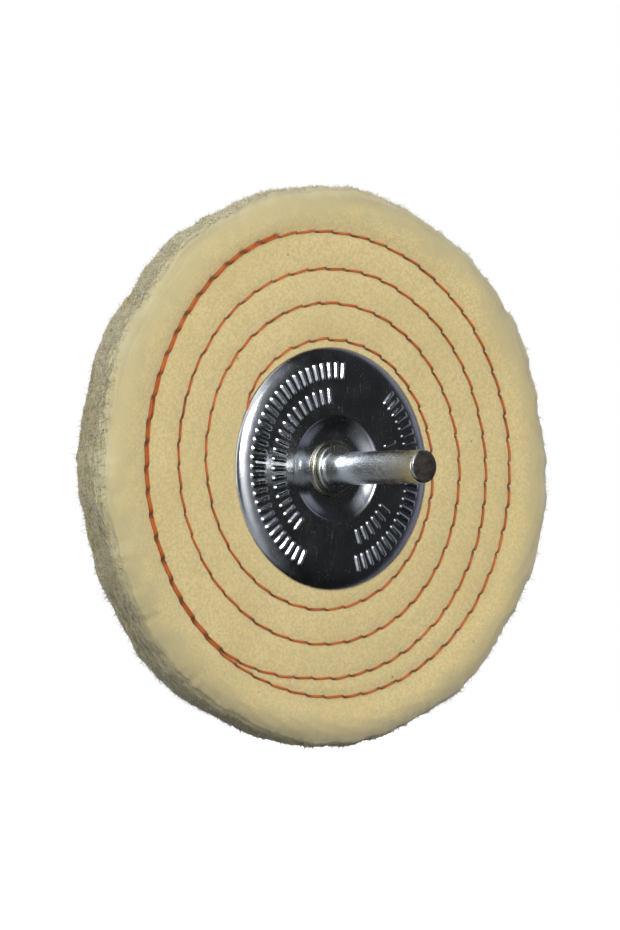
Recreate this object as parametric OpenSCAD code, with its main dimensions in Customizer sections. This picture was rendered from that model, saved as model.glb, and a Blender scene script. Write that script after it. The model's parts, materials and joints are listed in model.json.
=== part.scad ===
// Shank-mounted, spiral-sewn cotton buffing wheel.
// A stack of round muslin plies is sewn through on a spiral, clamped between
// two pressed steel flanges, and riveted on the tenon of a straight shank.
// The wheel's centre is the origin. The axis is Y, and the shank points to -Y.

/* [Cloth] */
// Diameter that the plies are cut to
wheel_d = 104; // [80:1:150]
// Thickness of the sewn stack
wheel_t = 12.7; // [8:0.1:16]
// Number of plies in the stack
ply_count = 40; // [20:1:50]

/* [Sewing] */
// Distance from one turn of the spiral to the next
row_pitch = 6.6; // [5:0.05:9]
// Length of one stitch
stitch_len = 4.5; // [3.5:0.1:7]
// Distance from the last row to the edge of the cloth
row_margin = 7.8; // [5:0.1:12]
// Width of the thread
thread_w = 0.6; // [0.4:0.05:0.7]
// Height of the thread on the cloth
thread_h = 0.5; // [0.3:0.05:0.6]

/* [Flanges] */
// Diameter of both flanges
flange_d = 46.6; // [44:0.1:52]
// Thickness of the flange sheet
sheet_t = 0.8; // [0.6:0.05:0.9]
// Height of the flat ring above the cloth, at its outer edge
ring_h = 1.5; // [1.5:0.05:2]
// Depth of the dished centre below the ridge around it
dish_depth = 1; // [0.6:0.05:1]

/* [Shank] */
// Diameter of the shank
shank_d = 6.35; // [6:0.05:8]
// How far the shank's tip stands out from the cloth
shank_reach = 28.5; // [22:0.5:45]
// Diameter of the tenon that holds the stack together
tenon_d = 5; // [4:0.1:5.5]
// Diameter of the shoulder at the shank's base
shoulder_d = 9.2; // [8.8:0.1:9.6]

/* [Hidden] */
// Curved faces
$fn = 96;

// The cloth's front face, along the axis
face = wheel_t / 2;
ply_t = wheel_t / ply_count;

// Flange: where its flat ring, its ridge and its dish lie
flange_r = flange_d / 2;
band_w = 5;
lip_w = 0.8;
ridge_r = 10.6;
ridge_rise = 0.3;
ridge_w = 0.8;
dish_r = 6.6;
dish_round = 0.9;

// Washers, shoulder and rivet head
washer_d = 11;
washer_t = 0.6;
seat = face + sheet_t;
shoulder_base = seat + washer_t;
shoulder_t = 0.7;
fillet_h = 0.9;
fillet_w = 0.45;
tip_chamfer = 0.35;
rivet_d = 8.2;
rivet_h = 1.7;

// Stamped marks: two rings of plain bars, each ring broken into arcs.
// Each arc has a first angle and a last angle, counted from +X towards +Z.
mark_rise = 0.22;
mark_root = 0.4;
outer_marks = [17.3, 20.4];
inner_marks = [12.6, 15.4];
outer_arcs = [[84, 246], [286, 408]];
inner_arcs = [[96, 232], [292, 330], [352, 384]];
mark_step = 5;
inner_mark_step = 7;
mark_w = 0.55;

// Spiral: angles count clockwise as seen from the shank's side, from +X
spiral_from = 215;
spiral_r = flange_r;
widen_from = 1170;
widen_to = 1212;
last_row_r = wheel_d / 2 - row_margin;
overlap_from = 1545;
overlap_to = 1572;
overlap_shift = 0.75;
sewn_from = -300;
sewn_to = 1695;
hidden_r = 19.6;

// The sewing is guided by hand: the spiral's centre wanders to one side, its
// start is tucked under the flange, and the last row swings out at one place
wander = 0.9;
wander_towards = 190;
tuck = 1.6;
tuck_from = 195;
tuck_to = 225;
swing = 1.2;
swing_at = 245;
swing_w = 27;
visible_r = flange_r + 0.45;
leg_gap = 0.2;
bend = 0.35;

ply_digits = function (i) str(i < 10 ? "0" : "", i);
ply_name = function (i) str("cloth_ply_", ply_digits(i));

// Points of an elliptical arc
function arc(centre, radii, from, to, steps = 8) = [
    for (i = [0:steps])
        let (a = from + (to - from) * i / steps)
            [centre[0] + radii[0] * cos(a), centre[1] + radii[1] * sin(a)]
];

// Turns a shape built along +Z so that it points to -Y, the shank's side
module to_front() rotate([90, 0, 0]) children();
module to_rear() rotate([-90, 0, 0]) children();

// ---- Cloth ----

// Ply 1 is the front one
module cloth_ply(i) {
    color(i % 2 == 0 ? "wheat" : "blanchedalmond")
        to_front()
            translate([0, 0, face - i * ply_t])
                difference() {
                    cylinder(d = wheel_d, h = ply_t);
                    translate([0, 0, -ply_t])
                        cylinder(d = tenon_d, h = 3 * ply_t);
                }
}

// ---- Sewing ----

function ease(x) = x * x * (3 - 2 * x);
function blend(t, from, to) = ease(min(max((t - from) / (to - from), 0), 1));

// Radius of the sewing at angle t: a spiral that widens into a closed last
// row, which then overlaps its own start
function even_spiral(t) = spiral_r + row_pitch * (t - spiral_from) / 360;
function wandering(t) = wander * cos(t - wander_towards);
function tucked(t) = tuck * (1 - blend(t, tuck_from, tuck_to));
function spiral_at(t) = even_spiral(t) + wandering(t) - tucked(t);
function off_swing(t) = (t - swing_at + 180) - 360 * floor((t - swing_at + 180) / 360) - 180;
function swung(t) = swing * exp(-pow(off_swing(t) / swing_w, 2));
function row_r(t) =
    let (last_row = blend(t, widen_from, widen_to), s = min(t, widen_from))
        spiral_at(s)
        + (last_row_r - spiral_at(widen_from) + swung(t)) * last_row
        + overlap_shift * blend(t, overlap_from, overlap_to);
function row_point(t) = row_r(t) * [cos(t), -sin(t)];

// Needle holes, a stitch apart, from the first hidden turn to the end
holes = [
    for (t = sewn_from; t < sewn_to; t = t + stitch_len / row_r(t) * 180 / PI) t
];

// The flange's rim presses the cloth between these radii, so no stitch stands there
function clear_of_rim(t) = row_r(t) < hidden_r || row_r(t) > visible_r;

// Side view of one stitch: a bar on the cloth with a leg down each hole
function stitch_outline(length, depth) = let (x = length / 2, leg = thread_w) [
    [-x, -depth],
    [-x, thread_h - bend],
    [-x + bend, thread_h],
    [x - bend, thread_h],
    [x, thread_h - bend],
    [x, -depth],
    [x - leg, -depth],
    [x - leg, 0],
    [-x + leg, 0],
    [-x + leg, -depth]
];

module stitch(from, to) {
    run = to - from;
    translate([(from[0] + to[0]) / 2, (from[1] + to[1]) / 2, face])
        rotate([0, 0, atan2(run[1], run[0])])
            rotate([90, 0, 0])
                linear_extrude(height = thread_w, center = true)
                    polygon(stitch_outline(norm(run) - leg_gap, face));
}

module sewing() {
    for (i = [0:len(holes) - 2])
        if (clear_of_rim(holes[i]) && clear_of_rim(holes[i + 1]))
            stitch(row_point(holes[i]), row_point(holes[i + 1]));
}

module needle_thread() color("chocolate") to_front() sewing();

module bobbin_thread() color("peru") mirror([0, 1, 0]) to_front() sewing();

// ---- Flanges ----

// Outer side of the pressed sheet, from the rim to the tenon
flange_top = concat(
    arc([flange_r - band_w, 0], [band_w, ring_h], 0, 90),
    arc([ridge_r, ring_h], [ridge_w, ridge_rise], 90, 160, 4),
    arc([dish_r + dish_round, ring_h + ridge_rise - dish_depth + dish_round],
        [dish_round, dish_round], 250, 270, 3),
    [[tenon_d / 2, ring_h + ridge_rise - dish_depth]]
);

// A pressed sheet: its inner side is its outer side, lowered by the sheet's
// thickness and stopped at the cloth
function lowered(p) = [
    p[0] - (p[0] > flange_r - band_w ? lip_w * (p[0] - flange_r + band_w) / band_w : 0),
    max(p[1] - sheet_t, 0)
];
flange_under = [for (i = [len(flange_top) - 1:-1:0]) lowered(flange_top[i])];

module pressed_sheet() rotate_extrude() polygon(concat(flange_top, flange_under));

// A ring of stamped bars between two radii
module marks(radii, arcs, step) {
    for (a = arcs)
        for (angle = [a[0]:step:a[1]])
            rotate([0, 0, angle])
                translate([(radii[0] + radii[1]) / 2, 0, ring_h + (mark_rise - mark_root) / 2])
                    cube([radii[1] - radii[0], mark_w, mark_rise + mark_root], center = true);
}

module flange() translate([0, 0, face]) pressed_sheet();

module front_flange() {
    color("dimgray") to_front() {
        flange();
        translate([0, 0, face]) {
            marks(outer_marks, outer_arcs, mark_step);
            marks(inner_marks, inner_arcs, inner_mark_step);
        }
    }
}

module rear_flange() color("dimgray") to_rear() flange();

// ---- Shank and washers ----

module washer() {
    translate([0, 0, seat])
        difference() {
            cylinder(d = washer_d, h = washer_t);
            translate([0, 0, -washer_t])
                cylinder(d = tenon_d, h = 3 * washer_t);
        }
}

module front_washer() color("darkkhaki") to_front() washer();

module rear_washer() color("darkkhaki") to_rear() washer();

// Outline of the shank and its tenon, from the shoulder's seat to the tip
shank_r = shank_d / 2;
shank_base = shoulder_base + shoulder_t + fillet_h;
shank_tip = face + shank_reach;

module shank() {
    color("silver") to_front() {
        // Shoulder with a rounded edge, and the fillet up to the shank
        rotate_extrude()
            polygon(concat(
                [[0, shoulder_base]],
                arc([shoulder_d / 2 - shoulder_t / 2, shoulder_base + shoulder_t / 2],
                    [shoulder_t / 2, shoulder_t / 2], -90, 90),
                arc([shank_r + fillet_w, shank_base], [fillet_w, fillet_h], 270, 180),
                [[0, shank_base]]
            ));
        translate([0, 0, shank_base])
            cylinder(d = shank_d, h = shank_tip - tip_chamfer - shank_base);
        translate([0, 0, shank_tip - tip_chamfer])
            cylinder(r1 = shank_r, r2 = shank_r - tip_chamfer, h = tip_chamfer);
        // Tenon through the stack, and the rivet head that closes it
        translate([0, 0, -shoulder_base])
            cylinder(d = tenon_d, h = 2 * shoulder_base);
        translate([0, 0, -shoulder_base])
            rotate_extrude()
                polygon(concat([[0, 0]], arc([0, 0], [rivet_d / 2, -rivet_h], 0, 90)));
    }
}

shank();
front_washer();
front_flange();
rear_flange();
rear_washer();
needle_thread();
bobbin_thread();
for (i = [1:ply_count])
    cloth_ply(i);
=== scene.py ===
"""Looks for the shank-mounted, spiral-sewn cotton buffing wheel.

Sizes below are in millimetres unless a note says otherwise, and meshes are made in metres.
A place on the wheel is (radius, turn, height): turn is counted in radians from +X towards +Z,
as seen from the shank's side, and height from the wheel's middle towards the shank, which is -Y.
"""

import json
import math

import bpy
import numpy as np
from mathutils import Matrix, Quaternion, Vector


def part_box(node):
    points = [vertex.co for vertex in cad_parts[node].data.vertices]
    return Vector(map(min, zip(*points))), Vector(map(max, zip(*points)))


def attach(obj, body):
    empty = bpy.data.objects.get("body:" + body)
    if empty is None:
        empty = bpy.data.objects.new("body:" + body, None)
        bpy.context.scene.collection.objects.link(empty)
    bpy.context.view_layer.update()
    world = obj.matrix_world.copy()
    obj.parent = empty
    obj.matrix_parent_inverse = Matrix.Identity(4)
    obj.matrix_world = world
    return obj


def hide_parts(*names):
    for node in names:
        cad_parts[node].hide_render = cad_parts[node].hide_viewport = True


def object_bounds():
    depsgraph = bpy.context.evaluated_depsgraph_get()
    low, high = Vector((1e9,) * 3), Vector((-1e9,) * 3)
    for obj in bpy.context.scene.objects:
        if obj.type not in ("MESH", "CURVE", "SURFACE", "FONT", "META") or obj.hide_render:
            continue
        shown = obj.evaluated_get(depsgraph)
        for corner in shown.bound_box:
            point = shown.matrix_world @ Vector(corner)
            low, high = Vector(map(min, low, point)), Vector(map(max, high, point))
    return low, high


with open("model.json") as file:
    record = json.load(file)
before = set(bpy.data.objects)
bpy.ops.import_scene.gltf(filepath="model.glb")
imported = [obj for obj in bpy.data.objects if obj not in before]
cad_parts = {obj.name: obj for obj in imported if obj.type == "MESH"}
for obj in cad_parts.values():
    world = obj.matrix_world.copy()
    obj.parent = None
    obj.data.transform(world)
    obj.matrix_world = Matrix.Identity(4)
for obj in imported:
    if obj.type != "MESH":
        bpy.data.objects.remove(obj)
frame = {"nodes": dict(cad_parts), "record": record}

CAD_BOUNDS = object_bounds()
MM = 0.001
BODY = "root"
TAU = 2 * math.pi


# ---- Sizes, from the frame ----

def millimetres(value):
    return value / MM


PLIES = sorted(name for name in frame["nodes"] if name.startswith("cloth_ply_"))
CLOTH_R = millimetres(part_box(PLIES[0])[1].x)
FACE = -millimetres(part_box(PLIES[0])[0].y)
PLY_T = 2 * FACE / len(PLIES)
FLANGE_R = millimetres(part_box("front_flange")[1].x)
WASHER_R = millimetres(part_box("front_washer")[1].x)
WASHER_BOTTOM = -millimetres(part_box("front_washer")[1].y)
WASHER_TOP = -millimetres(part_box("front_washer")[0].y)
SHOULDER_R = millimetres(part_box("shank")[1].x)
SHANK_TIP = -millimetres(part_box("shank")[0].y)
RIVET_END = -millimetres(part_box("shank")[1].y)

# ---- Sizes that the design sets, and the frame doesn't hold ----

SHANK_R = frame["record"]["mounts"][0]["dims"]["r_mm"]
TENON_R = 2.5
SHEET_T = WASHER_BOTTOM - FACE
RING_H = 1.5
BAND_W = 5.0
RIDGE_R, RIDGE_RISE, RIDGE_W = 10.6, 0.3, 0.8
DISH_R, DISH_DEPTH = 6.6, 1.0
LIP_W = 0.8
SHOULDER_T = 0.7
FILLET_H, FILLET_W = 0.9, 0.45
TIP_CHAMFER = 0.35
RIVET_R = 4.1

ROW_PITCH = 6.6
STITCH = 4.5
ROW_MARGIN = 7.8
LAST_ROW_R = CLOTH_R - ROW_MARGIN
SPIRAL_FROM = 215.0
WIDEN_FROM, WIDEN_TO = 1170.0, 1212.0
# The overlap is shifted by 0.75 in the design, and here by what the photo shows
OVERLAP_FROM, OVERLAP_TO, OVERLAP_SHIFT = 1545.0, 1572.0, 0.45
WANDER, WANDER_TOWARDS = 0.9, 190.0
TUCK, TUCK_FROM, TUCK_TO = 1.6, 195.0, 225.0
SWING, SWING_AT, SWING_W = 1.2, 245.0, 27.0
SEWN_FROM, SEWN_TO = -300.0, 1695.0
PINCHED_FROM, PINCHED_TO = 19.6, 22.7

# The sewing and the cloth sit a little off the shank's axis, as hand-fed work does
SEWING_LIFT = 0.65
CLOTH_LIFT, CLOTH_SHIFT = 0.65, 0.5

# The loose border: how far its edge grows, its swell, and how its corners fall and round off
CLOTH_GROWTH, CLOTH_TAPER, CLOTH_OVAL = 1.5, 0.7, 0.45
BORDER_BULGE, CORNER_FALL, CORNER_ROUND = 0.7, 1.6, 1.0

# A ply's half thickness, as shares of the ply pitch: where it is sewn, and the gain at its edge
PLY_HALF, PLY_HALF_GAIN = 0.43, 0.42

# Distance between neighbouring yarns of the weave
YARN_PITCH = 0.42


# ---- Small helpers ----

def ease(x, start, end):
    """0 before start, 1 after end, and smooth between."""
    u = np.clip((x - start) / (end - start), 0, 1)
    return u * u * (3 - 2 * u)


class Ripple:
    """A smooth random height of about unit size over the turn and the depth in the stack."""

    def __init__(self, rng, waves, depth_waves=0.0, count=24):
        self.waves = rng.integers(waves[0], waves[1] + 1, count)
        self.depth_waves = rng.uniform(-depth_waves, depth_waves, count)
        self.phases = rng.uniform(0, TAU, count)

    def __call__(self, turn, depth=0.0):
        total = 0.0
        for wave, slope, phase in zip(self.waves, self.depth_waves, self.phases):
            total = total + np.cos(wave * turn + slope * depth + phase)
        return total * math.sqrt(2 / len(self.waves))


def on_wheel(radius, turn, height):
    """Points in metres from radius, turn and height."""
    x, y, z = radius * np.cos(turn), -height + 0 * turn, radius * np.sin(turn)
    return np.stack(np.broadcast_arrays(x, y, z), axis=-1) * MM


def grid_faces(rows, columns, wrap=True, first=0):
    """Quads over a grid of points, row by row; the columns close on themselves if wrap."""
    last = columns if wrap else columns - 1
    row, column = np.meshgrid(np.arange(rows - 1), np.arange(last), indexing="ij")
    beside = (column + 1) % columns
    low, high = row * columns, (row + 1) * columns
    quads = np.stack([low + column, low + beside, high + beside, high + column], axis=-1)
    return (quads.reshape(-1, 4) + first).tolist()


def add_piece(name, points, faces, materials, stands_for=()):
    """A mesh piece from points in metres, riding on the wheel."""
    mesh = bpy.data.meshes.new(name)
    mesh.from_pydata(np.asarray(points).reshape(-1, 3).tolist(), [], faces)
    mesh.polygons.foreach_set("use_smooth", [True] * len(mesh.polygons))
    for material in materials:
        mesh.materials.append(material)
    mesh.update()
    piece = bpy.data.objects.new(name, mesh)
    bpy.context.scene.collection.objects.link(piece)
    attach(piece, BODY)
    if stands_for:
        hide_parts(*stands_for)
    return piece


# ---- Shader helper ----

class Shader:
    """A material's node tree, built by short calls."""

    def __init__(self, name):
        self.material = bpy.data.materials.new(name)
        self.material.use_nodes = True
        self.tree = self.material.node_tree
        self.bsdf = self.tree.nodes["Principled BSDF"]

    def add(self, kind, values=None, **settings):
        node = self.tree.nodes.new(kind)
        for key, value in settings.items():
            setattr(node, key, value)
        for key, value in (values or {}).items():
            self.put(node.inputs[key], value)
        return node

    def put(self, socket, value):
        if isinstance(value, bpy.types.NodeSocket):
            self.tree.links.new(value, socket)
        else:
            socket.default_value = value

    def set(self, **values):
        for key, value in values.items():
            self.put(self.bsdf.inputs[key.replace("_", " ")], value)

    def math(self, operation, a, b=0.0, clamp=False):
        return self.add("ShaderNodeMath", {0: a, 1: b}, operation=operation, use_clamp=clamp).outputs[0]

    def ramp(self, value, start, end, low=0.0, high=1.0):
        values = {"Value": value, "From Min": start, "From Max": end, "To Min": low, "To Max": high}
        return self.add("ShaderNodeMapRange", values, interpolation_type="SMOOTHSTEP").outputs[0]

    def mix(self, factor, a, b, blend="MIX"):
        node = self.add("ShaderNodeMix", data_type="RGBA", blend_type=blend)
        self.put(node.inputs[0], factor)
        self.put(node.inputs[6], a)
        self.put(node.inputs[7], b)
        return node.outputs[2]

    def noise(self, vector, scale, detail=2.0, roughness=0.5):
        values = {"Vector": vector, "Scale": scale, "Detail": detail, "Roughness": roughness}
        return self.add("ShaderNodeTexNoise", values).outputs["Fac"]

    def stretched(self, vector, scale):
        return self.add("ShaderNodeMapping", {"Vector": vector, "Scale": scale}).outputs[0]

    def position(self):
        return self.add("ShaderNodeTexCoord").outputs["Object"]

    def bump(self, height, distance, strength=1.0, below=None):
        values = {"Height": height, "Distance": distance, "Strength": strength}
        if below is not None:
            values["Normal"] = below
        return self.add("ShaderNodeBump", values).outputs[0]


def rgb(red, green, blue):
    return (red, green, blue, 1.0)


# ---- Materials ----
# Places and distances are in metres here, and a noise's scale is in cells to the metre

def muslin():
    """Unbleached plain-weave cotton: yarns over and under, slubs, seed flecks, faint mottling and
    painted shade.
    """
    s = Shader("muslin")
    position = s.position()
    luck = s.add("ShaderNodeObjectInfo").outputs["Random"]
    turned = s.add(
        "ShaderNodeVectorRotate",
        {"Vector": position, "Angle": s.math("MULTIPLY", luck, TAU)},
        rotation_type="Y_AXIS",
    ).outputs[0]
    wobble = s.add(
        "ShaderNodeTexNoise", {"Vector": turned, "Scale": 350.0, "Detail": 2.0}
    ).outputs["Color"]
    bent = s.add(
        "ShaderNodeVectorMath",
        {0: wobble, 1: (0.00022, 0.00022, 0.00022)},
        operation="MULTIPLY",
    ).outputs[0]
    cloth = s.add("ShaderNodeVectorMath", {0: turned, 1: bent}, operation="ADD").outputs[0]
    axes = s.add("ShaderNodeSeparateXYZ", {0: cloth}).outputs
    per_yarn = math.pi / (YARN_PITCH * MM)
    warp = s.math("SINE", s.math("MULTIPLY", axes[0], per_yarn))
    weft = s.math("SINE", s.math("MULTIPLY", axes[2], per_yarn))
    over = s.ramp(s.math("MULTIPLY", warp, weft), -0.25, 0.25)
    under = s.math("SUBTRACT", 1.0, over)
    yarns = s.math(
        "MAXIMUM",
        s.math("MULTIPLY", s.math("ABSOLUTE", warp), over),
        s.math("MULTIPLY", s.math("ABSOLUTE", weft), under),
    )
    slubs = s.math(
        "MAXIMUM",
        s.noise(s.stretched(turned, (130.0, 300.0, 1900.0)), 1.0, 1.0),
        s.noise(s.stretched(turned, (1900.0, 300.0, 130.0)), 1.0, 1.0),
    )
    fluff = s.noise(position, 2600.0, 4.0, 0.7)

    patches = s.noise(position, 55.0, 3.0, 0.6)
    speckle = s.noise(position, 2100.0, 2.0, 0.6)
    tint = s.mix(s.ramp(patches, 0.3, 0.7), rgb(0.62, 0.485, 0.226), rgb(0.68, 0.53, 0.262))
    tint = s.mix(s.ramp(speckle, 0.38, 0.62, 0.0, 0.75), tint, rgb(0.49, 0.405, 0.20))
    tint = s.mix(s.ramp(slubs, 0.58, 0.78, 0.0, 0.3), tint, rgb(0.72, 0.61, 0.34))
    # Painted shade: the weave is darkened in the gaps between the yarns.
    tint = s.mix(s.ramp(yarns, 0.0, 0.5, 0.35, 0.0), tint, rgb(0.38, 0.29, 0.12))
    cells = s.add("ShaderNodeTexVoronoi", {"Vector": turned, "Scale": 230.0, "Randomness": 1.0})
    chosen = s.math("GREATER_THAN", s.add(
        "ShaderNodeSeparateColor", {0: cells.outputs["Color"]}
    ).outputs[0], 0.72)
    fleck = s.math("MULTIPLY", s.ramp(cells.outputs["Distance"], 0.03, 0.075, 0.75, 0.0), chosen)
    tint = s.mix(fleck, tint, rgb(0.16, 0.11, 0.04))

    own = s.add("ShaderNodeSeparateXYZ", {0: position}).outputs
    flat = s.add("ShaderNodeCombineXYZ", {0: own[0], 1: 0.0, 2: own[2]}).outputs[0]
    radius = s.add("ShaderNodeVectorMath", {0: flat}, operation="LENGTH").outputs["Value"]
    # Darker and greyer towards the rim, then paler grey at the very edge, along a blotchy boundary.
    blotches = s.noise(position, 130.0, 3.0, 0.6)
    jittered_radius = s.math("ADD", radius, s.ramp(blotches, 0.3, 0.7, -0.0012, 0.0012))
    tint = s.mix(s.ramp(jittered_radius, 0.0465, 0.0520, 0.0, 0.8), tint, rgb(0.46, 0.395, 0.215))
    tint = s.mix(s.ramp(jittered_radius, 0.0518, 0.0545, 0.0, 0.75), tint, rgb(0.55, 0.495, 0.305))
    # Darker blotches over the loose border.
    border_blotch_noise = s.noise(position, 210.0, 4.0, 0.65)
    mottled = s.math("MULTIPLY", s.ramp(border_blotch_noise, 0.44, 0.66), s.ramp(radius, 0.0455, 0.0500, 0.0, 0.5))
    tint = s.mix(mottled, tint, rgb(0.43, 0.375, 0.21))
    # Painted shade: dark streaks round the rim stand for the shadowed gaps between clumped ply edges.
    ply_gap_noise = s.noise(s.stretched(position, (28.0, 950.0, 28.0)), 1.0, 3.0, 0.55)
    painted_gap_shade = s.math("MULTIPLY", s.ramp(ply_gap_noise, 0.42, 0.66), s.ramp(radius, 0.0500, 0.0525, 0.0, 0.55))
    tint = s.mix(painted_gap_shade, tint, rgb(0.36, 0.32, 0.19))
    # Painted shadow: the cloth is darkened round the needle holes, as deep as the puckers there.
    hole = s.add("ShaderNodeAttribute", attribute_name="hole").outputs["Fac"]
    tint = s.mix(s.ramp(hole, 0.4, 1.0, 0.0, 0.7), tint, rgb(0.20, 0.11, 0.035))

    weave = s.bump(yarns, 0.00007, 0.5)
    slubbed = s.bump(slubs, 0.0002, 0.2, weave)
    s.set(Base_Color=tint, Roughness=s.ramp(fluff, 0.3, 0.7, 0.82, 0.98))
    s.set(Normal=s.bump(fluff, 0.00008, 0.5, slubbed))
    s.set(Sheen_Weight=0.25, Sheen_Roughness=0.6, Specular_IOR_Level=0.15)
    s.set(Subsurface_Weight=0.35, Subsurface_Radius=(1.0, 0.8, 0.5), Subsurface_Scale=0.0012)
    return s.material


def sewing_thread():
    """Rust-orange twisted thread, with painted shade that darkens it where it dives into the cloth."""
    s = Shader("sewing_thread")
    position = s.position()
    fibres = s.noise(position, 5200.0, 3.0, 0.7)
    fade = s.noise(position, 160.0, 2.0)
    dip_shade = s.add("ShaderNodeAttribute", attribute_name="dip_shade").outputs["Fac"]
    tint = s.mix(s.ramp(fibres, 0.3, 0.7), rgb(0.31, 0.068, 0.011), rgb(0.54, 0.140, 0.031))
    tint = s.mix(s.ramp(fade, 0.35, 0.7, 0.0, 0.5), tint, rgb(0.62, 0.17, 0.045))
    # Painted shade: the thread is darkened towards each stitch's ends, where it dives into the cloth.
    tint = s.mix(s.ramp(dip_shade, 0.12, 0.75, 0.0, 0.9), tint, rgb(0.15, 0.045, 0.012))
    s.set(Base_Color=tint, Roughness=s.ramp(fibres, 0.3, 0.7, 0.5, 0.75))
    s.set(Normal=s.bump(fibres, 0.00006, 0.6))
    s.set(Sheen_Weight=0.05, Specular_IOR_Level=0.25)
    return s.material


def plated_steel(name, base, roughness, tarnish):
    """Bright plating with shallow dents, rubbed scratches, pits and a little tarnish."""
    s = Shader(name)
    position = s.position()
    dents = s.noise(position, 260.0, 1.0)
    smears = s.noise(position, 140.0, 5.0, 0.65)
    rubs = s.noise(s.stretched(position, (4200.0, 400.0, 350.0)), 1.0, 2.0)
    pits = s.noise(position, 2400.0, 2.0)
    worn = s.math("ADD", s.ramp(rubs, 0.62, 0.72, 0.0, 0.10), s.ramp(pits, 0.68, 0.74, 0.0, 0.15))
    rough = s.math("ADD", s.ramp(smears, 0.3, 0.75, roughness, roughness + 0.12), worn, clamp=True)
    tint = s.mix(s.ramp(smears, 0.35, 0.75, 0.0, 0.7), base, tarnish)
    s.set(Base_Color=tint, Metallic=1.0, Roughness=rough)
    s.set(Normal=s.bump(pits, 0.00001, 0.25, s.bump(dents, 0.00012, 0.5)))
    return s.material


def sheared_steel():
    """The shank's cut end: dark, matt and scored by the shear."""
    s = Shader("sheared_steel")
    position = s.position()
    scores = s.noise(s.stretched(position, (900.0, 900.0, 6000.0)), 1.0, 3.0, 0.7)
    end_mottle = s.noise(position, 700.0, 4.0, 0.6)
    # The cut end is coloured nearly black, mottled between two dark tones.
    tint = s.mix(s.ramp(end_mottle, 0.3, 0.7), rgb(0.030, 0.027, 0.024), rgb(0.075, 0.062, 0.052))
    s.set(Base_Color=tint, Metallic=0.75, Roughness=s.ramp(scores, 0.3, 0.7, 0.42, 0.65))
    s.set(Normal=s.bump(scores, 0.00006, 0.6))
    return s.material


MUSLIN = muslin()
THREAD = sewing_thread()
FLANGE_STEEL = plated_steel("flange_steel", rgb(0.58, 0.60, 0.63), 0.11, rgb(0.42, 0.43, 0.50))
SHANK_STEEL = plated_steel("shank_steel", rgb(0.40, 0.43, 0.45), 0.20, rgb(0.36, 0.35, 0.29))
WASHER_STEEL = plated_steel("washer_steel", rgb(0.46, 0.45, 0.37), 0.18, rgb(0.36, 0.33, 0.22))
SHEARED = sheared_steel()


# ---- Sewing path ----

def spiral_radius(angle):
    even = FLANGE_R + ROW_PITCH * (angle - SPIRAL_FROM) / 360
    wandering = WANDER * np.cos(np.radians(angle - WANDER_TOWARDS))
    return even + wandering - TUCK * (1 - ease(angle, TUCK_FROM, TUCK_TO))


def row_radius(angle):
    """Radius of the sewing at an angle in degrees, counted clockwise from the shank's side."""
    last_row = ease(angle, WIDEN_FROM, WIDEN_TO)
    widened = LAST_ROW_R - spiral_radius(WIDEN_FROM)
    off_swing = (angle - SWING_AT + 180) % 360 - 180
    swung = SWING * np.exp(-((off_swing / SWING_W) ** 2))
    overlap = OVERLAP_SHIFT * ease(angle, OVERLAP_FROM, OVERLAP_TO)
    return spiral_radius(np.minimum(angle, WIDEN_FROM)) + (widened + swung) * last_row + overlap


def needle_holes():
    """Angles of the needle holes, a stitch apart, from the first hidden turn to the end."""
    angle = SEWN_FROM
    holes = []
    while angle < SEWN_TO:
        holes.append(angle)
        angle += math.degrees(STITCH / row_radius(angle))
    return np.array(holes)


def sewing_lift(radius):
    """How far the sewing's centre stands above the axis: it starts to rise at the flange's rim."""
    return SEWING_LIFT * ease(radius, FLANGE_R - 1, FLANGE_R + 3)


def sewn_place(angle, aside=0.0):
    """(x, z) of the sewing at an angle, moved aside along the radius by a distance."""
    radius, turn = row_radius(angle) + aside, -np.radians(angle)
    return radius * np.cos(turn), radius * np.sin(turn) + sewing_lift(radius)


HOLES = needle_holes()
HOLE_X, HOLE_Z = sewn_place(HOLES)
SHOWN = row_radius(HOLES) > PINCHED_TO


# ---- Cloth stack ----

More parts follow.
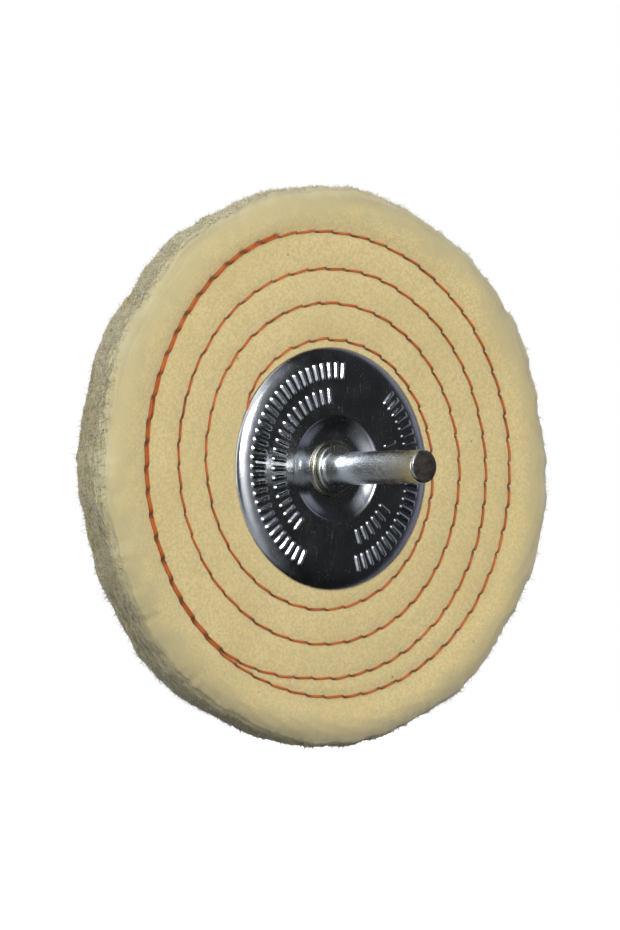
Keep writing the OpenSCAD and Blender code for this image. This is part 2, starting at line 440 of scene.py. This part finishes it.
class Stack:
    """The shape of the sewn stack. depth runs from 1 at the front ply to -1 at the rear one."""

    pillow, valley, valley_w = 0.16, 0.16, 1.0
    dimple, dimple_w = 0.22, 0.55
    squeeze = 0.5
    # Stands for the distance to a row where no row passes
    no_row = 99.0
    border_from = LAST_ROW_R + 1.2
    outline_h, scallop_h = 0.20, 0.12
    clump_h, tier_h, band_h = 0.06, 0.06, 0.04
    crowd_h, sway_h = 0.06, 0.22
    swell_h, loose_swell_h, crease_h = 0.03, 0.09, 0.12

    def __init__(self):
        rng = np.random.default_rng(11)
        self.outline = Ripple(rng, (2, 14), 1.0)
        self.scallops = Ripple(rng, (14, 50), 2.0)
        self.clumps = Ripple(rng, (40, 170), 9.0, 60)
        self.tiers = Ripple(rng, (1, 9), 22.0, 60)
        self.bands = Ripple(rng, (2, 26), 16.0, 60)
        self.sway = Ripple(rng, (2, 9), 0.6)
        self.creases = Ripple(rng, (14, 46), 2.0)
        self.lumps = [Ripple(rng, (3, 16), 0.5) for _ in range(4)]

    def border(self, radius):
        """0 up to the last row, and 1 at the edge."""
        return np.clip((radius - self.border_from) / (CLOTH_R - self.border_from), 0, 1)

    def quilting(self, radius, turn):
        """Height that the sewing gives an outer face: pillows between rows, valleys along them."""
        x, z = radius * np.cos(turn), radius * np.sin(turn) - sewing_lift(radius)
        sewn_r, sewn_angle = np.hypot(x, z), -np.degrees(np.arctan2(z, x))
        nearest = np.full(np.shape(sewn_r), self.no_row)
        for lap in range(0, 6):
            angle = sewn_angle % 360 + 360 * lap
            sewn = (angle > TUCK_FROM) & (angle < SEWN_TO)
            gap = np.where(sewn, np.abs(sewn_r - row_radius(angle)), self.no_row)
            nearest = np.minimum(nearest, gap)
        return self.pillow - (self.pillow + self.valley) * np.exp(-((nearest / self.valley_w) ** 2))

    def puff(self, radius, turn, side):
        """Height of the loose border and of the slack in the cloth."""
        v = self.border(radius)
        rise = BORDER_BULGE * np.sin(math.pi * v ** 0.9) - CORNER_FALL * v ** 4
        swell = sum(
            lump(turn + 0.35 * k, side) * np.cos(radius / (3.5 + 2.5 * k) + 2.1 * k)
            for k, lump in enumerate(self.lumps)
        )
        rise = rise + swell * (self.swell_h + self.loose_swell_h * v)
        return rise + self.creases(turn + 0.03 * radius * v, side) * self.crease_h * v * (1.3 - v)

    def relief(self, radius, turn, side):
        """Height of an outer face above its flat place."""
        held = ease(radius, FLANGE_R - 0.2, FLANGE_R + 0.6)
        return (self.quilting(radius, turn) + self.puff(radius, turn, side)) * held

    def dimples(self, radius, turn):
        """How deep the puckers round the needle holes are, from 0 to about 1."""
        x, z = (radius * np.cos(turn)).ravel(), (radius * np.sin(turn)).ravel()
        depth = np.zeros(x.shape)
        for hole_x, hole_z in zip(HOLE_X[SHOWN], HOLE_Z[SHOWN]):
            depth += np.exp(-((x - hole_x) ** 2 + (z - hole_z) ** 2) / self.dimple_w ** 2)
        return np.minimum(depth, 1.3).reshape(np.shape(radius))

    def edge_radius(self, turn, depth, own):
        """Radius of a ply's frayed edge. own is the ply's own raggedness."""
        shape = CLOTH_GROWTH + CLOTH_TAPER * depth - CORNER_ROUND * abs(depth) ** 4
        shape = shape + CLOTH_SHIFT * np.cos(turn) + CLOTH_LIFT * np.sin(turn)
        shape = shape + CLOTH_OVAL * np.cos(2 * turn)
        shape = shape + self.outline_h * self.outline(turn, depth)
        shape = shape + self.scallop_h * self.scallops(turn, depth)
        shape = shape + self.clump_h * self.clumps(turn, depth)
        shape = shape + self.tier_h * self.tiers(turn, depth) + self.band_h * self.bands(turn, depth)
        return CLOTH_R + shape + own

    def spread(self, radius, turn, depth, own):
        """Radius of a point of the cloth, once the border has grown or shrunk to its edge."""
        grown = self.edge_radius(turn, depth, own) - self.border_from
        return np.where(
            radius > self.border_from, self.border_from + self.border(radius) * grown, radius
        )

    def outer_height(self, radius, turn, depth, own):
        """Height of an outer ply's middle surface."""
        side = 1.0 if depth > 0 else -1.0
        rise = self.relief(radius, turn, side) - self.dimple * self.dimples(radius, turn)
        return depth * FACE + side * rise + self.stir(radius, turn, depth) + own * self.border(radius)

    def inner_height(self, radius, turn, depth, own):
        """Height of an inner ply, pressed tight inside the last row and loose beyond it."""
        side = 1.0 if depth > 0 else -1.0
        v = self.border(radius)
        slack = self.puff(np.maximum(radius, self.border_from), turn, side) * ease(v, 0.0, 0.5)
        loose = FACE - self.squeeze * (1 - ease(v, 0.0, 0.5))
        lifted = side * slack * abs(depth) ** 1.6
        return depth * loose + lifted + self.stir(radius, turn, depth) + own * v

    def stir(self, radius, turn, depth):
        """How the loose edges crowd into groups, up or down the stack."""
        crowd = self.crowd_h * self.tiers(turn + 1.7, depth) + self.sway_h * self.sway(turn, depth)
        return crowd * self.border(radius) ** 1.5

    def face_height(self, x, z, side):
        """Height of the front (1) or rear (-1) face, over its flat place, along the sewing."""
        radius, turn = np.hypot(x, z), np.arctan2(z, x)
        return self.relief(radius, turn, side)


STACK = Stack()


def tufts(rng, base, outward, count):
    """Frayed yarn ends: slim three-sided curls that leave base points along outward."""
    length = rng.gamma(4.0, 0.11, count).clip(0.15, 1.2)
    thick = rng.uniform(0.04, 0.10, count)
    along_edge = np.stack([-outward[:, 2], np.zeros(count), outward[:, 0]], axis=-1)
    axis = np.array([0.0, 1.0, 0.0])
    lean = rng.normal(0, 0.6, count)[:, None] * along_edge + rng.normal(0, 0.6, count)[:, None] * axis
    curl = rng.normal(0, 0.5, count)[:, None] * along_edge + rng.normal(0, 0.5, count)[:, None] * axis
    points = []
    for step, girth in ((0.0, 1.0), (0.6, 0.7)):
        middle = base + (outward + lean * step + curl * step * step) * (length * step)[:, None]
        for corner in range(3):
            a = TAU * corner / 3
            ring = math.cos(a) * along_edge + math.sin(a) * axis
            points.append(middle + ring * (thick * girth)[:, None])
    points.append(base + (outward + lean + curl) * length[:, None])
    points = np.stack(points, axis=1).reshape(-1, 3)
    pattern = [(0, 2, 1)]
    pattern += [(k, (k + 1) % 3, 3 + (k + 1) % 3, 3 + k) for k in range(3)]
    pattern += [(3 + k, 3 + (k + 1) % 3, 6) for k in range(3)]
    faces = [tuple(7 * i + corner for corner in face) for i in range(count) for face in pattern]
    return points, faces


def shifted(faces, first):
    return [tuple(corner + first for corner in face) for face in faces]


def build_ply(name, index, stations, segments, tuft_count):
    """One cloth disc with a frayed edge, as two rings of points at each radial station."""
    rng = np.random.default_rng(100 + index)
    outer = index in (0, len(PLIES) - 1)
    depth = 1 - (2 * index + 1) / len(PLIES)
    ragged = Ripple(rng, (60, 170), 0, 60)
    flutter = Ripple(rng, (8, 60), 0, 24)
    ragged_h, flutter_h = 0.05, 0.04
    height_of = STACK.outer_height if outer else STACK.inner_height

    def placed(radius, turn):
        out = STACK.spread(radius, turn, depth, ragged_h * ragged(turn))
        return out, height_of(radius, turn, depth, flutter_h * flutter(turn))

    turns = np.arange(segments) * TAU / segments + rng.uniform(0, 0.01)
    radius, turn = np.meshgrid(np.array(stations), turns, indexing="ij")
    out, height = placed(radius, turn)
    half = (PLY_HALF + PLY_HALF_GAIN * STACK.border(radius) ** 2) * PLY_T
    upper, lower = on_wheel(out, turn, height + half), on_wheel(out, turn, height - half)
    rows = 2 * len(stations)
    points = np.concatenate([upper.reshape(-1, 3), lower[::-1].reshape(-1, 3)])
    faces = grid_faces(rows, segments) + closing_faces(rows, segments)
    spots = np.sort(rng.uniform(0, TAU, tuft_count))
    edge, height = placed(np.full(tuft_count, CLOTH_R), spots)
    base = on_wheel(edge - 0.1, spots, height) / MM
    outward = np.stack([np.cos(spots), np.zeros(tuft_count), np.sin(spots)], axis=-1)
    curls, curl_faces = tufts(rng, base, outward, tuft_count)
    faces += shifted(curl_faces, len(points))
    points = np.concatenate([points, curls * MM])
    ply = add_piece(name, points, faces, [MUSLIN], [PLIES[index]])
    if outer:
        # The outer plies carry the painted shadow round the needle holes, taken from the puckers'
        # depth.
        holes = STACK.dimples(radius, turn)
        holes = np.concatenate([holes.ravel(), holes[::-1].ravel(), np.zeros(len(curls))])
        shade = ply.data.attributes.new("hole", "FLOAT", "POINT")
        shade.data.foreach_set("value", holes.astype(np.float32))
    return ply


def closing_faces(rows, columns):
    """Quads from the last row of a grid back to its first."""
    last = (rows - 1) * columns
    return [(last + k, last + (k + 1) % columns, (k + 1) % columns, k) for k in range(columns)]


# Radial stations and segments round the disc: close together where a face is seen, else few
EDGE_STATIONS = [48.0, 50.2, 51.3, CLOTH_R]
PLAIN_STATIONS = [TENON_R, 45.2] + EDGE_STATIONS
FINE_FROM, FINE_STEP = FLANGE_R - 0.8, 0.55
FINE_STATIONS = [TENON_R, 14.0] + list(np.arange(FINE_FROM, CLOTH_R - 0.3, FINE_STEP)) + [CLOTH_R]
PLAIN_SEGMENTS, FINE_SEGMENTS = 360, 540
TUFTS_PER_PLY = 600


def build_cloth():
    count = len(PLIES)
    for index in range(count):
        stations, segments = PLAIN_STATIONS, PLAIN_SEGMENTS
        if index in (0, count - 1):
            stations, segments = FINE_STATIONS, FINE_SEGMENTS
        name = f"muslin_ply_{index + 1:02d}"
        build_ply(name, index, stations, segments, TUFTS_PER_PLY)


# ---- Thread ----

def build_thread(name, node, side):
    """A three-strand thread along every stitch, diving at each needle hole."""
    rings, sides, strands = 12, 5, 3
    thread_r, strand_r, twist_pitch = 0.13, 0.16, 1.5
    stitch_slant, stitch_slack = 0.30, 0.05
    arch_h, sunk, uneven = 0.5, 0.32, 0.03
    rng = np.random.default_rng(31 if side > 0 else 32)
    count = len(HOLES) - 1
    u = (np.arange(rings) / rings)[None, :]
    start, end = HOLES[:-1, None], HOLES[1:, None]
    angle = (start + (end - start) * u).ravel()
    slant = stitch_slant * (u - 0.5) + 0 * start
    slack = rng.normal(0, stitch_slack, count)[:, None] * np.sin(math.pi * u)
    x, z = sewn_place(angle, (slant + slack).ravel())
    arch = 1 - (2 * u - 1) ** 6 + 0 * start
    # Painted shade for the thread's colour: darkest at each stitch's ends, where it dives into the
    # cloth.
    dip_shade = ((2 * u - 1) ** 2 + rng.normal(0, 0.12, count)[:, None]).ravel()
    lift = (arch * arch_h - sunk + rng.normal(0, uneven, count)[:, None]).ravel()
    path = np.stack([x, -side * (FACE + STACK.face_height(x, z, side) + lift), z], axis=-1)
    forward = np.gradient(path, axis=0)
    forward /= np.linalg.norm(forward, axis=1, keepdims=True)
    sideways = np.cross(forward, (0.0, -1.0 * side, 0.0))
    sideways /= np.linalg.norm(sideways, axis=1, keepdims=True)
    upward = np.cross(sideways, forward)
    run = np.concatenate([[0], np.cumsum(np.linalg.norm(np.diff(path, axis=0), axis=1))])
    radii = row_radius(angle)
    pinched = (radii > PINCHED_FROM) & (radii < PINCHED_TO)
    first_shown = int(np.flatnonzero(~pinched & (angle > TUCK_FROM))[0])
    last_hidden = int(np.flatnonzero(pinched)[0])
    points, faces, shades, total = [], [], [], 0
    for begin, stop in ((0, last_hidden), (first_shown, len(path))):
        span = slice(begin, stop)
        length = stop - begin
        for strand in range(strands):
            roll = TAU * (run[span] / twist_pitch + strand / strands)
            swirl = np.cos(roll)[:, None] * sideways[span] + np.sin(roll)[:, None] * upward[span]
            middle = path[span] + thread_r * swirl
            tube = [
                middle + strand_r * (math.cos(a) * sideways[span] + math.sin(a) * upward[span])
                for a in TAU * np.arange(sides) / sides
            ]
            points.append(np.stack(tube, axis=1).reshape(-1, 3))
            shades.append(np.repeat(dip_shade[span], sides))
            faces += grid_faces(length, sides, first=total)
            last = total + (length - 1) * sides
            faces.append(tuple(total + k for k in range(sides)))
            faces.append(tuple(last + k for k in reversed(range(sides))))
            total += length * sides
    thread = add_piece(name, np.concatenate(points) * MM, faces, [THREAD], [node])
    shade = thread.data.attributes.new("dip_shade", "FLOAT", "POINT")
    shade.data.foreach_set("value", np.concatenate(shades).astype(np.float32))
    return thread


# ---- Turned and pressed metal ----

def arc(centre, radii, start, end, steps):
    a = np.radians(np.linspace(start, end, steps + 1))
    return [(centre[0] + radii[0] * math.cos(k), centre[1] + radii[1] * math.sin(k)) for k in a]


def dense(outline, step):
    """The outline with points added so that none lie further apart than step."""
    points = [outline[0]]
    for a, b in zip(outline, outline[1:]):
        parts = max(1, math.ceil(math.dist(a, b) / step))
        points += [
            (a[0] + (b[0] - a[0]) * k / parts, a[1] + (b[1] - a[1]) * k / parts)
            for k in range(1, parts + 1)
        ]
    return points


def lathe(outline, segments, side, relief=None, closed=True):
    """Points and faces of an outline of (radius, height) turned about the axis."""
    turns = np.arange(segments) * TAU / segments
    radius = np.array([p[0] for p in outline])[:, None] + 0 * turns
    height = np.array([p[1] for p in outline])[:, None] + 0 * turns
    if relief is not None:
        height = height + relief(radius, turns[None, :] + 0 * radius)
    points = on_wheel(radius, turns[None, :] + 0 * radius, side * height)
    faces = grid_faces(len(outline), segments)
    if closed:
        faces += closing_faces(len(outline), segments)
    if side < 0:
        faces = [face[::-1] for face in faces]
    return points.reshape(-1, 3), faces


# Stamped bars: radii, arcs in degrees from +X towards +Z, and the step between bars
MARK_RISE, MARK_W, MARK_SOFT = 0.22, 0.55, 0.16
MARK_RINGS = [
    ((17.3, 20.4), ((84, 246), (286, 408)), 5),
    ((12.6, 15.4), ((96, 232), (292, 330), (352, 384)), 7),
]


def stamped(radius, turn):
    """Height of the stamped bars over the flange's flat ring."""
    rise = np.zeros(np.shape(radius))
    degrees = np.degrees(turn) % 360
    for (inner, outer), arcs, step in MARK_RINGS:
        within = ease(radius, inner - MARK_SOFT, inner + MARK_SOFT)
        within = within * (1 - ease(radius, outer - MARK_SOFT, outer + MARK_SOFT))
        for first, last in arcs:
            for bar in range(first, last + 1, step):
                off = (degrees - bar + 180) % 360 - 180
                aside = np.abs(np.radians(off)) * radius
                bar_shape = 1 - ease(aside, MARK_W / 2 - MARK_SOFT, MARK_W / 2 + MARK_SOFT)
                rise = np.maximum(rise, bar_shape * within)
    return rise * MARK_RISE


def flange_outline(fine):
    """The pressed sheet's outline: its outer side from rim to tenon, then its inner side back."""
    floor = RING_H + RIDGE_RISE - DISH_DEPTH
    top = arc((FLANGE_R - BAND_W, 0), (BAND_W, RING_H), 0, 90, 24)
    top += arc((RIDGE_R, RING_H), (RIDGE_W, RIDGE_RISE), 90, 150, 6)
    wall_from, wall_h = top[-1]
    steps, begun = 16, 0.22
    start = (1 - math.cos(math.pi * begun)) / 2
    for u in np.arange(1, steps + 1) / steps:
        fall = (1 - math.cos(math.pi * (begun + (1 - begun) * u))) / 2
        share = (fall - start) / (1 - start)
        top.append((wall_from + (DISH_R - wall_from) * u, wall_h + (floor - wall_h) * share))
    top += [(TENON_R, floor)]
    fine_top = dense(top, fine)
    lip_from = FLANGE_R - BAND_W
    under = []
    for radius, height in reversed(dense(top, 1.5)):
        pulled = LIP_W * max(radius - lip_from, 0) / BAND_W
        under.append((radius - pulled, max(height - SHEET_T, 0.0)))
    return [(r, FACE + h) for r, h in fine_top], [(r, FACE + h) for r, h in under]


def build_flange(name, node, side, fine, segments, marked):
    top, under = flange_outline(fine)
    rng = np.random.default_rng(51 if side > 0 else 52)
    wave = Ripple(rng, (2, 9), 0.0)
    other = Ripple(rng, (2, 7), 0.0)

    def relief(radius, turn):
        on_top = np.zeros(np.shape(radius))
        on_top[: len(top)] = 1
        uneven = 0.006 * (wave(turn) * np.cos(radius / 2.6) + other(turn) * np.sin(radius / 3.4))
        rise = uneven * ring_area(radius)
        if marked:
            rise = rise + stamped(radius, turn)
        return rise * on_top

    points, faces = lathe(top + under, segments, side, relief)
    return add_piece(name, points, faces, [FLANGE_STEEL], [node])


def ring_area(radius):
    """1 on the flange's flat ring, fading to 0 at its rim and its dish."""
    return ease(radius, DISH_R + 1, RIDGE_R) * (1 - ease(radius, FLANGE_R - BAND_W, FLANGE_R))


def build_washer(name, node, side):
    edge, steps = 0.18, 5
    low, high = WASHER_BOTTOM, WASHER_TOP
    outline = [(TENON_R, high)]
    outline += arc((WASHER_R - edge, high - edge), (edge, edge), 90, 0, steps)
    outline += arc((WASHER_R - edge, low + edge), (edge, edge), 0, -90, steps)
    outline += [(TENON_R, low)]
    points, faces = lathe(outline[::-1], 128, side)
    return add_piece(name, points, faces, [WASHER_STEEL], [node])


def build_shank():
    """The shank with its shoulder, tenon and rivet head, turned from tip to rivet."""
    base = WASHER_TOP
    shank_base = base + SHOULDER_T + FILLET_H
    half = SHOULDER_T / 2
    chamfer_from = SHANK_TIP - TIP_CHAMFER
    edge = 0.08
    tip = [(0.001, SHANK_TIP), (SHANK_R - TIP_CHAMFER - edge, SHANK_TIP)]
    barrel = [
        (SHANK_R - TIP_CHAMFER, SHANK_TIP - edge * 0.4),
        (SHANK_R - edge * 0.4, chamfer_from + edge),
        (SHANK_R, chamfer_from - edge),
    ]
    barrel += arc((SHANK_R + FILLET_W, shank_base), (FILLET_W, FILLET_H), 180, 270, 10)
    barrel += arc((SHOULDER_R - half, base + half), (half, half), 90, -90, 12)
    barrel += [(TENON_R, base), (TENON_R, -base), (RIVET_R, -base)]
    barrel += arc((0, -base), (RIVET_R, base + RIVET_END), 0, 88, 14)
    barrel += [(0.001, RIVET_END)]
    outline = dense(tip, 0.5) + dense(barrel, 1.0)
    points, faces = lathe(outline[::-1], 144, 1, closed=False)
    shank = add_piece("shank_and_tenon", points, faces, [SHANK_STEEL, SHEARED], ["shank"])
    for polygon in shank.data.polygons:
        if -polygon.center.y > (SHANK_TIP - 0.02) * MM:
            polygon.material_index = 1
    return shank


# ---- Loose fibres ----

def build_fibres():
    """Stray cotton fibres that curl off the rim."""
    rng = np.random.default_rng(77)
    count, steps, sides = 120, 9, 3
    rooted, tip_taper, deepest = 0.6, 0.6, 0.95
    points, faces = [], []
    for _ in range(count):
        turn, depth = rng.uniform(0, TAU), rng.uniform(-deepest, deepest)
        start = CLOTH_R + CLOTH_LIFT * math.sin(turn) - rooted
        place = np.array([start * math.cos(turn), -depth * FACE, start * math.sin(turn)])
        heading = np.array([math.cos(turn), 0, math.sin(turn)]) + rng.normal(0, 0.5, 3)
        heading /= np.linalg.norm(heading)
        bend = rng.normal(0, 0.45, 3)
        length, thick = rng.uniform(1.0, 2.6), rng.uniform(0.014, 0.026)
        first = len(points)
        for step in range(steps):
            side_a = np.cross(heading, (0.31, 0.87, 0.38))
            side_a /= np.linalg.norm(side_a)
            side_b = np.cross(heading, side_a)
            girth = thick * (1 - tip_taper * step / (steps - 1))
            for corner in range(sides):
                a = TAU * corner / sides
                points.append(place + girth * (math.cos(a) * side_a + math.sin(a) * side_b))
            place = place + heading * length / (steps - 1)
            heading = heading + bend * 0.35 + rng.normal(0, 0.12, 3)
            heading /= np.linalg.norm(heading)
        faces += grid_faces(steps, sides, first=first)
        last = first + (steps - 1) * sides
        faces.append(tuple(first + k for k in range(sides)))
        faces.append(tuple(last + k for k in reversed(range(sides))))
    return add_piece("stray_fibres", np.array(points) * MM, faces, [MUSLIN])


# ---- Studio ----
# Distances are in metres here, but for the floor's drop

CAMERA_AZIMUTH, CAMERA_ELEVATION, CAMERA_ROLL = -38.5, -0.9, -0.4
CAMERA_DISTANCE, CAMERA_LENS = 2.8, 566.4
# Once aimed, the camera is raised by this much, which puts the wheel where the photo has it
CAMERA_RAISED = 0.00085


def direction(azimuth, elevation):
    """The way from the wheel to a place at this azimuth and elevation, in degrees."""
    a, e = math.radians(azimuth), math.radians(elevation)
    return Vector((math.sin(a) * math.cos(e), -math.cos(a) * math.cos(e), math.sin(e)))


def aimed(obj, azimuth, elevation, distance, roll=0.0):
    back = direction(azimuth, elevation)
    obj.location = back * distance
    obj.rotation_mode = "QUATERNION"
    turn = Quaternion((0, 0, 1), math.radians(roll))
    obj.rotation_quaternion = (-back).to_track_quat("-Z", "Y") @ turn


def add_camera():
    data = bpy.data.cameras.new("camera")
    data.lens, data.sensor_width = CAMERA_LENS, 36.0
    data.clip_start, data.clip_end = 0.01, 20.0
    camera = bpy.data.objects.new("camera", data)
    bpy.context.scene.collection.objects.link(camera)
    aimed(camera, CAMERA_AZIMUTH, CAMERA_ELEVATION, CAMERA_DISTANCE, CAMERA_ROLL)
    camera.location.z += CAMERA_RAISED
    bpy.context.scene.camera = camera


def add_light(name, azimuth, elevation, distance, size, power, colour):
    data = bpy.data.lights.new(name, "AREA")
    data.shape, data.size, data.size_y = "RECTANGLE", size[0], size[1]
    data.energy, data.color = power, colour
    light = bpy.data.objects.new(name, data)
    light.visible_camera = False
    bpy.context.scene.collection.objects.link(light)
    aimed(light, azimuth, elevation, distance)


# The room's shade from the grey side, 0, through the dark gap, 0.5, to the bright front, 1
GAP_AZIMUTH = 42
GAP_SHADES = [
    (0.15, (0.06, 0.063, 0.08, 1)),
    (0.22, (0.24, 0.25, 0.30, 1)),
    (0.28, (0.20, 0.21, 0.25, 1)),
    (0.39, (0.022, 0.024, 0.026, 1)),
    (0.60, (0.014, 0.015, 0.014, 1)),
    (0.71, (0.18, 0.19, 0.20, 1)),
    (0.82, (0.90, 0.92, 0.94, 1)),
]
ROOM_STRENGTH = 1.3
BELOW_SHARE = 0.45
CAMERA_SHARE, CAMERA_DARK_FROM, CAMERA_DARK_TO = 0.12, 12, 30


def add_world():
    """White behind the wheel; round it, a bright front and a grey side with a dark gap between."""
    world = bpy.data.worlds.new("studio")
    bpy.context.scene.world = world
    world.use_nodes = True
    tree = world.node_tree
    tree.nodes.clear()

    def node(kind, **settings):
        made = tree.nodes.new(kind)
        for key, value in settings.items():
            setattr(made, key, value)
        return made

    def link(a, b):
        tree.links.new(a, b)

    def ramp(value, start, end, low, high):
        made = node("ShaderNodeMapRange", interpolation_type="SMOOTHSTEP")
        link(value, made.inputs["Value"])
        for key, number in zip(("From Min", "From Max", "To Min", "To Max"), (start, end, low, high)):
            made.inputs[key].default_value = number
        return made.outputs["Result"]

    def combined(operation, a, b):
        made = node("ShaderNodeMath", operation=operation)
        for socket, value in zip(made.inputs, (a, b)):
            if isinstance(value, float):
                socket.default_value = value
            else:
                link(value, socket)
        return made.outputs[0]

    look = node("ShaderNodeTexCoord").outputs["Generated"]

    def facing(way):
        made = node("ShaderNodeVectorMath", operation="DOT_PRODUCT")
        link(look, made.inputs[0])
        made.inputs[1].default_value = way
        return made.outputs["Value"]

    room = node("ShaderNodeValToRGB")
    room.color_ramp.interpolation = "EASE"
    stops = room.color_ramp.elements
    stops[0].position, stops[0].color = 0.0, (0.05, 0.05, 0.06, 1)
    stops[1].position, stops[1].color = 1.0, (0.62, 0.66, 0.70, 1)
    for position, colour in GAP_SHADES:
        stops.new(position).color = colour
    across = combined("MULTIPLY", facing(direction(GAP_AZIMUTH - 90, 0)), 0.5)
    link(combined("ADD", across, 0.5), room.inputs[0])
    below = ramp(facing((0, 0, 1)), -0.5, 0.0, BELOW_SHARE, 1.0)
    off_camera = facing(direction(CAMERA_AZIMUTH, CAMERA_ELEVATION))
    dark_from, dark_to = (math.cos(math.radians(a)) for a in (CAMERA_DARK_TO, CAMERA_DARK_FROM))
    by_camera = ramp(off_camera, dark_from, dark_to, 1.0, CAMERA_SHARE)
    studio = node("ShaderNodeBackground")
    link(room.outputs[0], studio.inputs["Color"])
    strength = combined("MULTIPLY", combined("MULTIPLY", below, by_camera), ROOM_STRENGTH)
    link(strength, studio.inputs["Strength"])
    white = node("ShaderNodeBackground")
    white.inputs["Color"].default_value = (1, 1, 1, 1)
    seen = node("ShaderNodeLightPath")
    both = node("ShaderNodeMixShader")
    link(seen.outputs["Is Camera Ray"], both.inputs[0])
    link(studio.outputs[0], both.inputs[1])
    link(white.outputs[0], both.inputs[2])
    link(both.outputs[0], node("ShaderNodeOutputWorld").inputs[0])


# Millimetres from the cut edge down to the floor, so that it clears the spread cloth and its fluff
FLOOR_DROP = 2.1


def add_floor():
    """A pale floor just under the rim, brightening into the white background."""
    level = CAD_BOUNDS[0].z - FLOOR_DROP * MM
    size = 4.0
    corners = [(-size, -size, level), (size, -size, level), (size, size, level), (-size, size, level)]
    mesh = bpy.data.meshes.new("floor")
    mesh.from_pydata(corners, [], [(0, 1, 2, 3)])
    floor = bpy.data.objects.new("floor", mesh)
    bpy.context.scene.collection.objects.link(floor)
    s = Shader("floor_paint_and_glow")
    away = s.add("ShaderNodeVectorMath", {0: s.position()}, operation="LENGTH").outputs["Value"]
    s.set(Base_Color=rgb(0.85, 0.85, 0.85), Roughness=0.9, Specular_IOR_Level=0.0)
    # Painted light: the floor glows, more the further it lies from the wheel, so that it fades into the
    # white background.
    s.set(Emission_Color=rgb(1, 1, 1), Emission_Strength=s.ramp(away, 0.06, 0.45, 0.62, 1.0))
    mesh.materials.append(s.material)
    floor.visible_glossy = False
    floor.visible_diffuse = False


def build_studio():
    add_camera()
    add_world()
    add_floor()
    add_light("key", -10, 16, 1.1, (0.45, 0.4), 9.7, (1.0, 0.98, 0.955))
    add_light("side", -104, 9, 1.2, (1.0, 1.0), 8.8, (1.0, 0.99, 0.97))
    add_light("top", -60, 70, 1.0, (0.8, 0.6), 1.0, (0.95, 0.98, 1.0))
    add_light("back", 158, 24, 1.2, (0.8, 0.6), 9.0, (1.0, 0.98, 0.95))
    bpy.context.scene.view_settings.view_transform = "Standard"


build_cloth()
build_thread("needle_sewing", "needle_thread", 1)
build_thread("bobbin_sewing", "bobbin_thread", -1)
build_flange("front_flange_pressing", "front_flange", 1, 0.26, 600, True)
build_flange("rear_flange_pressing", "rear_flange", -1, 0.6, 256, False)
build_washer("front_washer_disc", "front_washer", 1)
build_washer("rear_washer_disc", "rear_washer", -1)
build_shank()
build_fibres()
build_studio()
